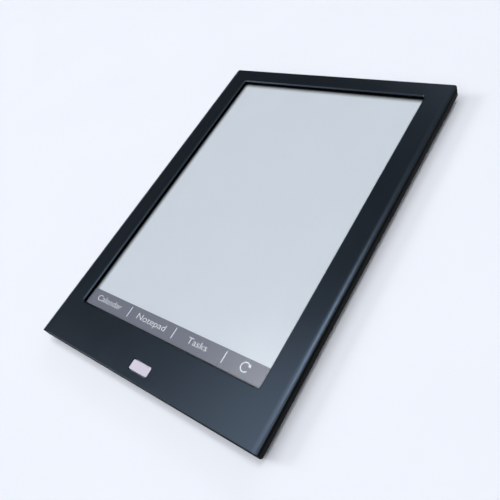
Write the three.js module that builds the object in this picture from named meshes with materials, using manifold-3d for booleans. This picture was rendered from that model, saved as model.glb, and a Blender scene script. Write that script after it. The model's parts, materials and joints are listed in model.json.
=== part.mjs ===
// Electronic notebook with a 6-inch e-paper screen: a pocket organiser worked by touch.
// Millimetres, +Z up. The origin is the centre of the back face, +Y points to the device's top edge.

import * as THREE from 'three';
import { mergeVertices } from 'three/addons/utils/BufferGeometryUtils.js';
import Module from 'manifold-3d';

// ---------------------------------------------------------------- driving dimensions

const BODY = { width: 112, length: 157, thickness: 7.9, corner: 0.7 };
const FIT = 0.1;                     // running gap round anything that drops into a pocket
const REST = 0.01;                   // gap between two pieces that lie on each other
const OVER = 1;                      // how far a cutting tool runs past what it cuts

// The front bezel: a plate with a skirt, a bevelled window and a hole for the home key.
const BEZEL = { underside: 6.85, skirtBottom: 5.6, skirtWall: 1.25 };
const SIDE_ROLL = { width: 2.3, drop: 0.6, steps: 5 };
const END_CHAMFER = { width: 0.4, drop: 0.4, steps: 1 };
const WINDOW = { width: 92.2, length: 131.7, x: -0.3, y: 5.17, corner: 1, bevel: 0.45 };

// The rear cover: a tub with deeply rolled lower edges and a lip that stands inside the bezel's skirt.
// Its inside narrows to a well below the step.
const COVER = { floor: 1.0, wall: 1.9, rimTop: 5.48, lipTop: 6.3, lipInset: 1.35 };
const ROLL = { inset: 4.2, rise: 3.6, steps: 6 };
const WELL = { inset: 3.1, step: 2.2 };

// The screen stack, all centred on the active area.
const SCREEN = { x: -0.3, y: 8.8, width: 91.46, length: 123.56 };
const PANEL = { width: 101.8, bottom: -64, top: 75.1 };
const TOUCH = { top: 6.52, thickness: 0.3 };
const FILM = { top: 6.2, thickness: 0.35 };
const GLASS = { top: 5.84, thickness: 0.69 };
const KEY_STRIP = { length: 7.19, thickness: 0.2 };
const GASKET = { margin: 0.9, width: 1.6 };

// The metal frame that carries the screen and takes the case screws.
const FRAME = {
  plateTop: 5.05,
  plateBottom: 4.4,
  rimTop: 6.75,
  width: 107.6,
  length: 152.6,
  rimEnd: 0.9,
  seatGap: 0.3,
};
const SCREWS = {
  x: 46.5,
  ys: [-70.5, 2, 71],
  head: 2.6,
  headHeight: 0.75,
  shank: 1.4,
  seat: 0.9,
  tip: 4.1,
  clearance: 0.4,
};
const BOSS = { diameter: 4.2, bottom: 1.62 };

// The circuit board wraps round the battery on three sides.
const BOARD = {
  bottom: 2.2,
  top: 3.0,
  left: -51.5,
  right: -9,
  rear: 74.3,
  front: -75.6,
  footRight: 13,
  headRight: 42,
};
const ON_BOARD = BOARD.top + REST;
const BOARD_ARM = { foot: 16, head: 13 };
const BATTERY = { x: 18.5, y: 5, width: 49, length: 96, bottom: 1.2, top: 4.2 };

// The flex tails of the screen and of the touch panel pass through slots in the frame.
const FLEX = {
  slotFront: -67.6,
  socketFront: -63.6,
  thickness: 0.12,
  tails: { screen: { x: -13, width: 18 }, touch: { x: 7, width: 8 } },
};
const FLEX_SOCKET = { length: 3.6, height: 1.1, side: 0.8, depth: 2.4, lower: 0.4, upper: 0.75 };

// Keys and switches. Travel is how far a press moves each one.
const TRAVEL = { home: 0.3, power: 0.3, reset: 0.25 };
const HOME = { x: 0, y: -72.9, width: 9.2, length: 3.8, corner: 0.6, top: 7.85, gap: 0.32 };
const POWER = { x: 34, z: 3.6, width: 8, height: 1.4, gap: 0.25 };
const RESET = { x: -30, y: 34, hole: 1.5 };
const USB = { x: -30, z: 3.6, width: 7.5, height: 2.5, length: 5.5, wall: 0.25, setback: 0.4, gap: 0.3 };

const CORNER_STEPS = 2;
const ROUND_STEPS = 12;

// ---------------------------------------------------------------- finishes

function finish(colour, roughness, metalness = 0) {
  return { color: colour, roughness, metalness };
}

const FINISH = {
  bezel: finish(0x2b323b, 0.42),
  cover: finish(0x17191c, 0.6),
  silver: finish(0xd3d1df, 0.35, 0.6),
  clear: finish(0xdde4e8, 0.25),
  paper: finish(0xcad4dd, 0.8),
  print: finish(0x767c88, 0.55),
  panelGlass: finish(0x0e1012, 0.3),
  foam: finish(0x101010, 0.95),
  frame: finish(0xa9adb2, 0.4, 0.9),
  steel: finish(0x9a9da1, 0.35, 1),
  board: finish(0x1d5a36, 0.55),
  chip: finish(0x141416, 0.5),
  flex: finish(0xb8772e, 0.45),
  pouch: finish(0xb9bcc0, 0.4, 0.5),
  tape: finish(0xe9e3c8, 0.7),
  redLead: finish(0xb51f1f, 0.5),
  blackLead: finish(0x1a1a1a, 0.5),
  whitePlastic: finish(0xe6e2d6, 0.5),
  plunger: finish(0x2a2a2d, 0.5),
};

// ---------------------------------------------------------------- solids and booleans

const wasm = await Module();
wasm.setup();

function toSolid(geometry) {
  const bare = geometry.clone();
  bare.deleteAttribute('normal');
  bare.deleteAttribute('uv');
  const merged = mergeVertices(bare, 1e-5);
  const mesh = new wasm.Mesh({
    numProp: 3,
    vertProperties: new Float32Array(merged.attributes.position.array),
    triVerts: new Uint32Array(merged.index.array),
  });
  return new wasm.Manifold(mesh);
}

function toGeometry(solid) {
  const mesh = solid.getMesh();
  const geometry = new THREE.BufferGeometry();
  geometry.setAttribute('position', new THREE.BufferAttribute(mesh.vertProperties, 3));
  geometry.setIndex(new THREE.BufferAttribute(mesh.triVerts, 1));
  geometry.computeVertexNormals();
  return geometry;
}

function cut(base, ...tools) {
  const solid = tools.reduce((rest, tool) => rest.subtract(toSolid(tool)), toSolid(base));
  return toGeometry(solid);
}

function join(base, ...others) {
  const solid = others.reduce((sum, other) => sum.add(toSolid(other)), toSolid(base));
  return toGeometry(solid);
}

function common(base, ...others) {
  const solid = others.reduce((rest, other) => rest.intersect(toSolid(other)), toSolid(base));
  return toGeometry(solid);
}

// ---------------------------------------------------------------- basic shapes

// A closed outline through corner points given as [x, y] pairs.
function outline(points) {
  return new THREE.Shape(points.map(([x, y]) => new THREE.Vector2(x, y)));
}

function roundedRect(width, length, radius) {
  const x = width / 2;
  const y = length / 2;
  const shape = new THREE.Shape();
  shape.absarc(x - radius, y - radius, radius, 0, Math.PI / 2);
  shape.absarc(radius - x, y - radius, radius, Math.PI / 2, Math.PI);
  shape.absarc(radius - x, radius - y, radius, Math.PI, Math.PI * 1.5);
  shape.absarc(x - radius, radius - y, radius, Math.PI * 1.5, Math.PI * 2);
  return shape;
}

// A prism that stands on z = bottom and ends at z = top.
function prism(shape, bottom, top, x = 0, y = 0) {
  const options = { depth: top - bottom, bevelEnabled: false, curveSegments: CORNER_STEPS };
  return new THREE.ExtrudeGeometry(shape, options).translate(x, y, bottom);
}

function plate(width, length, radius, bottom, top, x = 0, y = 0) {
  return prism(roundedRect(width, length, radius), bottom, top, x, y);
}

// A plain block between two opposite corners.
function block(x0, x1, y0, y1, z0, z1) {
  const box = new THREE.BoxGeometry(x1 - x0, y1 - y0, z1 - z0);
  return box.translate((x0 + x1) / 2, (y0 + y1) / 2, (z0 + z1) / 2);
}

function disc(diameter, bottom, top, x = 0, y = 0) {
  const cylinder = new THREE.CylinderGeometry(diameter / 2, diameter / 2, top - bottom, ROUND_STEPS);
  return cylinder.rotateX(Math.PI / 2).translate(x, y, (bottom + top) / 2);
}

// A rounded slot through an end wall: its section lies in the XZ plane and runs from y0 to y1.
function wallSlot(width, height, radius, y0, y1, x, z) {
  const options = { depth: y1 - y0, bevelEnabled: false, curveSegments: CORNER_STEPS };
  const slot = new THREE.ExtrudeGeometry(roundedRect(width, height, radius), options);
  return slot.rotateX(Math.PI / 2).translate(x, y1, z);
}

// A strip of even thickness bent along a path in the YZ plane, width wide and centred on x.
function bentStrip(path, thickness, width, x) {
  const half = thickness / 2;
  const side = (sign) => path.map(([y, z], i) => {
    const [y0, z0] = path[Math.max(i - 1, 0)];
    const [y1, z1] = path[Math.min(i + 1, path.length - 1)];
    const run = Math.hypot(y1 - y0, z1 - z0);
    return [y - sign * half * (z1 - z0) / run, z + sign * half * (y1 - y0) / run];
  });
  const options = { depth: width, bevelEnabled: false };
  const strip = new THREE.ExtrudeGeometry(outline([...side(-1), ...side(1).reverse()]), options);
  return strip.rotateX(Math.PI / 2).rotateZ(Math.PI / 2).translate(x - width / 2, 0, 0);
}

// ---------------------------------------------------------------- the group

const group = new THREE.Group();
group.name = 'electronic_notebook';

function add(name, geometry, look) {
  const mesh = new THREE.Mesh(geometry, new THREE.MeshStandardMaterial(look));
  mesh.name = name;
  group.add(mesh);
}

// ---------------------------------------------------------------- casing

// Points from an outer side up to the face, on an arc that meets the face level.
function edgeArc(half, { width, drop, steps }) {
  const radius = (width ** 2 + drop ** 2) / (2 * drop);
  const centre = BODY.thickness - radius;
  return Array.from({ length: steps + 1 }, (_, i) => {
    const reach = width * (1 - i / steps);
    return [half - width + reach, centre + Math.sqrt(radius ** 2 - reach ** 2)];
  });
}

// The bezel's outer block: rolled off along both long sides and chamfered along both ends.
function bezelBlank() {
  const { width, length, thickness, corner } = BODY;
  const section = (half, edge) => {
    const right = edgeArc(half, edge);
    const left = right.map(([across, height]) => [-across, height]).reverse();
    const bottom = BEZEL.skirtBottom - OVER;
    return outline([[-half, bottom], [half, bottom], ...right, ...left]);
  };
  const body = plate(width, length, corner, BEZEL.skirtBottom, thickness);
  const alongY = new THREE.ExtrudeGeometry(section(width / 2, SIDE_ROLL),
    { depth: length + 2 * OVER, bevelEnabled: false });
  const alongX = new THREE.ExtrudeGeometry(section(length / 2, END_CHAMFER),
    { depth: width + 2 * OVER, bevelEnabled: false });
  alongY.rotateX(Math.PI / 2).translate(0, length / 2 + OVER, 0);
  alongX.rotateX(Math.PI / 2).rotateZ(Math.PI / 2).translate(-width / 2 - OVER, 0, 0);
  return common(body, alongY, alongX);
}

function frontBezel() {
  const { width, length, thickness, corner } = BODY;
  const { skirtBottom, skirtWall, underside } = BEZEL;
  const pocket = plate(width - 2 * skirtWall, length - 2 * skirtWall, corner / 2,
    skirtBottom - OVER, underside);
  const opening = roundedRect(WINDOW.width, WINDOW.length, WINDOW.corner);
  const through = prism(opening, underside - OVER, thickness + OVER, WINDOW.x, WINDOW.y);
  const funnel = new THREE.ExtrudeGeometry(opening, {
    depth: OVER, bevelSize: WINDOW.bevel, bevelThickness: WINDOW.bevel, bevelSegments: 1,
    curveSegments: CORNER_STEPS,
  }).translate(WINDOW.x, WINDOW.y, thickness);
  const keyHole = plate(HOME.width + 2 * HOME.gap, HOME.length + 2 * HOME.gap, HOME.corner + HOME.gap,
    underside - OVER, thickness + OVER, HOME.x, HOME.y);
  return cut(bezelBlank(), pocket, through, funnel, keyHole);
}

function rearCover() {
  const { width, length, corner } = BODY;
  const { floor, wall, rimTop, lipTop, lipInset } = COVER;
  const foot = outline([
    [-width / 2 + ROLL.inset, -length / 2 + ROLL.inset],
    [width / 2 - ROLL.inset, -length / 2 + ROLL.inset],
    [width / 2 - ROLL.inset, length / 2 - ROLL.inset],
    [-width / 2 + ROLL.inset, length / 2 - ROLL.inset],
  ]);
  const rolled = new THREE.ExtrudeGeometry(foot, {
    depth: rimTop, bevelSize: ROLL.inset, bevelThickness: ROLL.rise, bevelSegments: ROLL.steps,
  }).translate(0, 0, ROLL.rise);
  const shell = common(plate(width, length, corner, 0, rimTop), rolled);
  const lip = plate(width - 2 * lipInset, length - 2 * lipInset, corner / 2, rimTop - OVER, lipTop);
  const tub = plate(width - 2 * wall, length - 2 * wall, corner / 2, WELL.step, lipTop + OVER);
  const well = plate(width - 2 * WELL.inset, length - 2 * WELL.inset, corner / 2, floor, WELL.step + OVER);
  const seats = screwPlaces().map(([x, y]) => disc(
    BOSS.diameter + 1, floor / 2, BOSS.bottom - 2 * REST, x, y));
  const tools = screwPlaces().flatMap(([x, y]) => [
    disc(SCREWS.head + SCREWS.clearance, -OVER, SCREWS.seat, x, y),
    disc(SCREWS.shank + SCREWS.clearance, -OVER, BOSS.bottom + OVER, x, y),
  ]);
  const usbHole = wallSlot(USB.width + 2 * USB.gap, USB.height + 2 * USB.gap, USB.height / 3,
    length / 2 - wall - OVER, length / 2 + OVER, USB.x, USB.z);
  const powerHole = wallSlot(POWER.width + 2 * POWER.gap, POWER.height + 2 * POWER.gap, POWER.height / 2,
    length / 2 - wall - OVER, length / 2 + OVER, POWER.x, POWER.z);
  const resetHole = disc(RESET.hole, -OVER, floor + OVER, RESET.x, RESET.y);
  const hollow = cut(join(shell, lip), tub, well);
  return cut(join(hollow, ...seats), ...tools, usbHole, powerHole, resetHole);
}

function screwPlaces() {
  return SCREWS.ys.flatMap((y) => [[-SCREWS.x, y], [SCREWS.x, y]]);
}

// A pan-head screw with a cross recess, its head in the back face's counterbore.
function caseScrew(x, y) {
  const { head, headHeight, shank, seat, tip } = SCREWS;
  const headBottom = seat - headHeight;
  const headEdge = 0.25;
  const point = 0.4;
  const recess = { long: 1.5, wide: 0.36, deep: 0.4 };
  const profile = [
    [0, headBottom],
    [head / 2 - headEdge, headBottom],
    [head / 2, headBottom + headEdge],
    [head / 2, seat],
    [shank / 2, seat],
    [shank / 2, tip - point],
    [shank / 4, tip],
    [0, tip],
  ].map(([r, z]) => new THREE.Vector2(r, z));
  const turned = new THREE.LatheGeometry(profile, ROUND_STEPS).rotateX(Math.PI / 2);
  const arm = (w, l) => block(-w / 2, w / 2, -l / 2, l / 2, headBottom - OVER, headBottom + recess.deep);
  const slots = [arm(recess.long, recess.wide), arm(recess.wide, recess.long)];
  return cut(turned, ...slots).translate(x, y, 0);
}

function addCasing() {
  add('front_bezel', frontBezel(), FINISH.bezel);
  add('rear_cover', rearCover(), FINISH.cover);
  screwPlaces().forEach(([x, y], i) => add(`case_screw_${i + 1}`, caseScrew(x, y), FINISH.steel));
}

// ---------------------------------------------------------------- screen stack

// A foam ring that seals the touch panel against the bezel's underside.
function windowGasket() {
  const { margin, width } = GASKET;
  const ring = (grow, bottom, top) => plate(WINDOW.width + 2 * grow, WINDOW.length + 2 * grow,
    WINDOW.corner, bottom, top, WINDOW.x, WINDOW.y);
  const bottom = TOUCH.top + REST;
  const top = BEZEL.underside - REST;
  return cut(ring(margin + width, bottom, top), ring(margin, bottom - OVER, top + OVER));
}

function addScreen() {
  const seam = 2 * REST;
  const stripTop = SCREEN.y - SCREEN.length / 2;
  const panelMid = (PANEL.top + PANEL.bottom) / 2;
  const panelLength = PANEL.top - PANEL.bottom;
  const touch = plate(PANEL.width - 2, panelLength - 1, 1, TOUCH.top - TOUCH.thickness, TOUCH.top,
    SCREEN.x, panelMid);
  const film = plate(SCREEN.width, SCREEN.length, 0.2, FILM.top - FILM.thickness, FILM.top,
    SCREEN.x, SCREEN.y);
  const strip = plate(SCREEN.width, KEY_STRIP.length - seam, 0.2, FILM.top - KEY_STRIP.thickness, FILM.top,
    SCREEN.x, stripTop - KEY_STRIP.length / 2 - seam);
  const glass = plate(PANEL.width, panelLength, 0.4, GLASS.top - GLASS.thickness, GLASS.top,
    SCREEN.x, panelMid);
  const driver = block(-24, 4, -58.4, -56.9, GLASS.top + 0.005, GLASS.top + 0.14);
  add('window_gasket', windowGasket(), FINISH.foam);
  add('touch_panel', touch, FINISH.clear);
  add('touch_key_strip', strip, FINISH.print);
  add('epaper_film', film, FINISH.paper);
  add('epaper_backplane', glass, FINISH.panelGlass);
  add('screen_driver_chip', driver, FINISH.chip);
}

// ---------------------------------------------------------------- frame

function midFrame() {
  const { plateTop, plateBottom, rimTop, width, length, rimEnd, seatGap } = FRAME;
  const slab = plate(width, length, 1, plateBottom, rimTop);
  const seatLeft = SCREEN.x - PANEL.width / 2 - seatGap;
  const seatRight = SCREEN.x + PANEL.width / 2 + seatGap;
  const seat = block(seatLeft, seatRight, rimEnd - length / 2, PANEL.top + seatGap, plateTop, rimTop + OVER);
  const through = (x0, x1, y0, y1) => block(x0, x1, y0, y1, plateBottom - OVER, plateTop + OVER);
  const wall = BODY.length / 2;
  const slots = [
    ...Object.values(FLEX.tails).map(({ x, width }) => through(x - width / 2 - 2, x + width / 2 + 2,
      FLEX.slotFront, PANEL.bottom - seatGap)),
    through(HOME.x - 6, HOME.x + 6, HOME.y - 1.4, HOME.y + 3.6),
    block(USB.x - 4.2, USB.x + 4.2, wall - 7, wall, plateBottom - OVER, plateTop + REST),
  ];
  const posts = screwPlaces().map(([x, y]) => disc(BOSS.diameter, BOSS.bottom, plateBottom + 0.2, x, y));
  const pilots = screwPlaces().map(([x, y]) => disc(
    SCREWS.shank + FIT, BOSS.bottom - OVER, SCREWS.tip + FIT, x, y));
  return cut(join(cut(slab, seat, ...slots), ...posts), ...pilots);
}

// ---------------------------------------------------------------- circuit board and what it carries

function boardOutline() {
  const { left, right, rear, front, footRight, headRight } = BOARD;
  return outline([
    [left, front],
    [footRight, front],
    [footRight, front + BOARD_ARM.foot],
    [right, front + BOARD_ARM.foot],
    [right, rear - BOARD_ARM.head],
    [headRight, rear - BOARD_ARM.head],
    [headRight, rear],
    [left, rear],
  ]);
}

function mainBoard() {
  const bottom = BOARD.bottom - OVER;
  const top = BOARD.top + OVER;
  const margin = 0.15;
  const notchHalf = USB.width / 2 + margin;
  const notchFront = BODY.length / 2 - USB.setback - USB.length - margin;
  const usbNotch = block(USB.x - notchHalf, USB.x + notchHalf, notchFront, BOARD.rear + OVER, bottom, top);
  const holes = screwPlaces().map(([x, y]) => disc(BOSS.diameter + 0.5, bottom, top, x, y));
  return cut(prism(boardOutline(), BOARD.bottom, BOARD.top), usbNotch, ...holes);
}

// Chips on the board's upper side: name, centre, size and height above the board.
const CHIPS = [
  ['processor_chip', -33, 14, 13, 13, 0.9],
  ['memory_chip', -17, 14, 9, 11, 0.8],
  ['flash_chip', -33, -12, 12, 18, 1.0],
  ['power_chip', -19, 44, 6, 6, 0.85],
  ['touch_controller_chip', -35, -40, 7, 7, 0.9],
];

const INDUCTOR = { x: -19, y: 53, size: 5, corner: 1, height: 1.2 };
const CRYSTAL = { x: -44, y: 26, width: 3.2, length: 1.5, corner: 0.3, height: 0.8 };
const CAN = { x: -25.2, y: 14, width: 30, length: 17, corner: 0.6, wall: 0.2, top: 4.3 };

function onBoard({ x, y, width, length, corner, height }) {
  return plate(width, length, corner, ON_BOARD, ON_BOARD + height, x, y);
}

function addChips() {
  CHIPS.forEach(([name, x, y, width, length, height]) => {
    add(name, onBoard({ x, y, width, length, corner: 0.15, height }), FINISH.chip);
  });
  add('power_inductor', onBoard({ ...INDUCTOR, width: INDUCTOR.size, length: INDUCTOR.size }), FINISH.chip);
  add('clock_crystal', onBoard(CRYSTAL), FINISH.steel);
}

// A pressed steel can over the processor and memory, open underneath.
function shieldCan() {
  const { x, y, width, length, corner, wall, top } = CAN;
  const shell = plate(width, length, corner, ON_BOARD, top, x, y);
  const hollow = plate(width - 2 * wall, length - 2 * wall, corner - wall,
    ON_BOARD - OVER, top - wall, x, y);
  return cut(shell, hollow);
}

// A flex socket: a low housing with a slot that faces the front edge, and the flex end in it.
function flexSocket(x, y, width) {
  const { length, height, side, depth, lower, upper } = FLEX_SOCKET;
  const half = width / 2;
  const housing = block(x - half, x + half, y, y + length, ON_BOARD, ON_BOARD + height);
  const mouth = block(x - half + side, x + half - side, y - OVER, y + depth,
    ON_BOARD + lower, ON_BOARD + upper);
  return cut(housing, mouth);
}

// A flex tail leaves the panel's lower edge, turns under it and enters its socket on the board.
function flexTail(x, width, topZ, socketY) {
  const inSocket = ON_BOARD + (FLEX_SOCKET.lower + FLEX_SOCKET.upper) / 2;
  const turnY = PANEL.bottom - 1.6;
  const radius = (topZ - inSocket) / 2;
  const midZ = (topZ + inSocket) / 2;
  const path = [[PANEL.bottom + 1.2, topZ]];
  const steps = 8;
  for (let i = 0; i <= steps; i += 1) {
    const angle = Math.PI / 2 + (Math.PI * i) / steps;
    path.push([turnY + radius * Math.cos(angle), midZ + radius * Math.sin(angle)]);
  }
  path.push([socketY + FLEX_SOCKET.depth - 0.2, inSocket]);
  return bentStrip(path, FLEX.thickness, width, x);
}

function addFlexes() {
  const startHeights = { screen: GLASS.top + 0.08, touch: TOUCH.top - TOUCH.thickness - 0.08 };
  Object.entries(FLEX.tails).forEach(([name, { x, width }]) => {
    add(`${name}_flex_socket`, flexSocket(x, FLEX.socketFront, width + 2.6), FINISH.whitePlastic);
    add(`${name}_flex`, flexTail(x, width, startHeights[name], FLEX.socketFront), FINISH.flex);
  });
}

// ---------------------------------------------------------------- battery

function addBattery() {
  const { x, y, width, length, bottom, top } = BATTERY;
  const end = y + length / 2;
  const plug = { y: 64.2, half: 3.4, length: 3, height: 1.29 };
  const wireRadius = 0.32;
  const lead = (leadX, colour) => {
    const route = new THREE.CatmullRomCurve3([
      new THREE.Vector3(leadX, end + 1.9, 3.4),
      new THREE.Vector3(leadX, end + 3.6, 3.6),
      new THREE.Vector3(leadX, end + 5.4, 4.0),
      new THREE.Vector3(leadX, plug.y - 1.2, 3.75),
      new THREE.Vector3(leadX, plug.y - 0.15, 3.75),
    ]);
    const wire = outline([0, 1, 2, 3, 4, 5, 6, 7].map((i) => {
      const angle = (Math.PI * i) / 4;
      return [wireRadius * Math.cos(angle), wireRadius * Math.sin(angle)];
    }));
    return new THREE.ExtrudeGeometry(wire, { steps: 12, extrudePath: route, bevelEnabled: false });
  };
  const tape = plate(width - 12, length - 16, 0.5, COVER.floor + REST, bottom - REST, x, y);
  add('battery_pack', plate(width, length, 1.6, bottom, top, x, y), FINISH.pouch);
  add('battery_tape', tape, FINISH.tape);
  add('battery_guard_board', block(x - 12, x + 12, end + 0.1, end + 1.75, 2.3, 3.9), FINISH.board);
  add('battery_lead_positive', lead(x - 1.6), FINISH.redLead);
  add('battery_lead_negative', lead(x + 1.6), FINISH.blackLead);
  add('battery_plug', block(x - plug.half, x + plug.half, plug.y, plug.y + plug.length,
    ON_BOARD, ON_BOARD + plug.height), FINISH.whitePlastic);
}

// ---------------------------------------------------------------- socket, keys and switches

function addUsb() {
  const { x, z, width, height, length, wall, setback } = USB;
  const mouth = BODY.length / 2 - setback;
  const back = mouth - length;
  const backWall = 0.6;
  const shell = cut(
    wallSlot(width, height, 0.7, back, mouth, x, z),
    wallSlot(width - 2 * wall, height - 2 * wall, 0.5, back + backWall, mouth + OVER, x, z),
  );
  const tongue = block(x - 1.9, x + 1.9, back + backWall + 2 * REST, mouth - 0.8, z + 0.05, z + 0.55);
  add('usb_shell', shell, FINISH.steel);
  add('usb_tongue', tongue, FINISH.chip);
}

// The home key: a silver cap flush with the bezel, a flange that stops it and a stem to its switch.
function addHomeKey() {
  const { x, y, width, length, corner, top } = HOME;
  const flange = { top: BEZEL.underside - FIT, bottom: 6.2, grow: 0.9 };
  const stemBottom = 5.2;
  const tactSwitch = { size: [6, 3.6, 1.32], tip: [2.2, 1.4], reach: stemBottom - 2 * REST };
  const cap = plate(width, length, corner, flange.bottom, top, x, y);
  const stop = plate(width + 2 * flange.grow, length + flange.grow, corner, flange.bottom, flange.top, x, y);
  const stem = block(x - 1.6, x + 1.6, y - 1, y + 1, stemBottom, flange.bottom + 0.1);
  add('home_button', join(cap, stop, stem), FINISH.silver);
  addSwitch('home', [x, y], tactSwitch);
}

// A tact switch that faces up: a housing with a well and a plunger that sinks into it.
function addSwitch(name, [x, y], { size: [width, length, height], tip: [tipX, tipY], reach }) {
  const top = ON_BOARD + height;
  const wellFloor = top - TRAVEL[name] - 0.45;
  const upright = (w, l, z0, z1) => block(x - w / 2, x + w / 2, y - l / 2, y + l / 2, z0, z1);
  const housing = upright(width, length, ON_BOARD, top);
  const well = upright(tipX + 2 * FIT, tipY + 2 * FIT, wellFloor, top + OVER);
  const plunger = upright(tipX, tipY, wellFloor + TRAVEL[name] + FIT, reach);
  add(`${name}_switch_housing`, cut(housing, well), FINISH.chip);
  add(`${name}_switch_plunger`, plunger, FINISH.plunger);
}

// The power key sits in the top wall; its switch lies behind it on the board.
function addPowerKey() {
  const { x, z, width, height } = POWER;
  const face = BODY.length / 2 - 0.06;
  const wallInside = BODY.length / 2 - COVER.wall;
  const flangeBack = wallInside - 0.75;
  const slim = 0.05;
  const wing = 1.2;
  const cap = wallSlot(width, height, height / 2 - slim, flangeBack + FIT, face, x, z);
  const flange = block(x - width / 2 - wing, x + width / 2 + wing, flangeBack, wallInside - FIT,
    z - height / 2 + slim, z + height / 2 - slim);
  add('power_button', join(cap, flange), FINISH.cover);
  const front = flangeBack - 0.85;
  const tip = { half: 0.8, halfHeight: 0.3 };
  const housing = block(x - 2.3, x + 2.3, front - 2.4, front, ON_BOARD, ON_BOARD + 1.2);
  const well = block(x - tip.half - FIT, x + tip.half + FIT, front - 0.7, front + OVER,
    z - tip.halfHeight - FIT, z + tip.halfHeight + FIT);
  const plunger = block(x - tip.half, x + tip.half, front - 0.3, flangeBack - 2 * REST,
    z - tip.halfHeight, z + tip.halfHeight);
  add('power_switch_housing', cut(housing, well), FINISH.chip);
  add('power_switch_plunger', plunger, FINISH.plunger);
}

// The reset switch hangs under the board, over its pinhole in the back.
function addResetSwitch() {
  const { x, y } = RESET;
  const top = BOARD.bottom - REST;
  const bottom = 1.45;
  const tip = 1.2;
  const housing = block(x - 1.8, x + 1.8, y - 1.5, y + 1.5, bottom, top);
  const well = disc(tip + 2 * FIT, bottom - OVER, bottom + TRAVEL.reset + 0.2, x, y);
  add('reset_switch_housing', cut(housing, well), FINISH.chip);
  add('reset_switch_plunger', disc(tip, COVER.floor + 0.08, bottom + 0.12, x, y), FINISH.plunger);
}

// ---------------------------------------------------------------- assembly

addCasing();
addScreen();
add('mid_frame', midFrame(), FINISH.frame);
add('main_board', mainBoard(), FINISH.board);
addChips();
add('shield_can', shieldCan(), FINISH.steel);
addFlexes();
addBattery();
addUsb();
addHomeKey();
addPowerKey();
addResetSwitch();

export default group;
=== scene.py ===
"""Looks of a slim electronic notebook with a recessed e-paper touch screen.

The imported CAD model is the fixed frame. Casing, keys, screws and socket are remade here as fine
meshes in the places that the frame gives, and every CAD node that stays gets its own finish.
Meshes are modelled in millimetres and stored in metres.
"""

import json
import logging
import math
from dataclasses import dataclass, field
from enum import Enum
from typing import Iterable, Sequence

import bmesh
import bpy
from bmesh.types import BMEdge, BMesh, BMVert
from bpy.types import Material, Node, NodeSocket, Object
from mathutils import Matrix, Vector


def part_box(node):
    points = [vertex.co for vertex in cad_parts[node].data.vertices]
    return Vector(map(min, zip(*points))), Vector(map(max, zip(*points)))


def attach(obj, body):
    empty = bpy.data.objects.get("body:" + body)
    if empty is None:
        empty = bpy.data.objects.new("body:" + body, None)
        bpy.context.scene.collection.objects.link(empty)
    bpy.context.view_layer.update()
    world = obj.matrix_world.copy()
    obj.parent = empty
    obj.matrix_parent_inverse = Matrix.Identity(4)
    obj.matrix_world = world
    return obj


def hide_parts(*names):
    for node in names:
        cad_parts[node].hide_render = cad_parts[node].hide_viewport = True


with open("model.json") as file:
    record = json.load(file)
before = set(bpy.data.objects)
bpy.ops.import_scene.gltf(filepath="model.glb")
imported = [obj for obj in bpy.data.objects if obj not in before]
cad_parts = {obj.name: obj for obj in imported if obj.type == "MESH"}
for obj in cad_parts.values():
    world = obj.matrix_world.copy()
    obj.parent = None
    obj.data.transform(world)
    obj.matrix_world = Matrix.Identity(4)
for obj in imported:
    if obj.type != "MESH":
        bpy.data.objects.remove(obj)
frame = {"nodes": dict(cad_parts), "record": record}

MM = 0.001
WEAR = "edge_wear"
LOG = logging.getLogger("notebook")
SCREW_NUMBERS = range(1, 7)

# Points of a mesh that are closer than this, in millimetres, are one.
MERGE = 1e-4
# The widest corner radius of an outline, as a share of its shorter side.
FULLEST_CORNER = 0.499

Colour = tuple[float, float, float]
Point = tuple[float, float, float]


class Body(Enum):
    """The CAD bodies that pieces ride on."""

    CASE = "case"
    HOME = "home_key"
    POWER = "power_key"


class Axis(Enum):
    """The direction in which a slab's outline is drawn out."""

    UP = "Z"
    BACK = "Y"


class Tooling(Enum):
    """What a tool does to the piece that it meets."""

    CUT = "DIFFERENCE"
    JOIN = "UNION"


class Ramp(Enum):
    """How a value is spread over a range."""

    EVEN = "LINEAR"
    SOFT = "SMOOTHSTEP"


# ---------------------------------------------------------------- places from the frame


@dataclass(frozen=True)
class Span:
    """The box of a CAD node, in millimetres."""

    low: Vector
    high: Vector

    @classmethod
    def of(cls, node: str) -> "Span":
        """Returns the span of a named node at rest."""
        low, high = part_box(node)
        return cls(low / MM, high / MM)

    @property
    def centre(self) -> Vector:
        """The middle of the box."""
        return (self.low + self.high) / 2

    @property
    def size(self) -> Vector:
        """The box's sizes along X, Y and Z."""
        return self.high - self.low


# ---------------------------------------------------------------- mesh workshop


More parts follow.
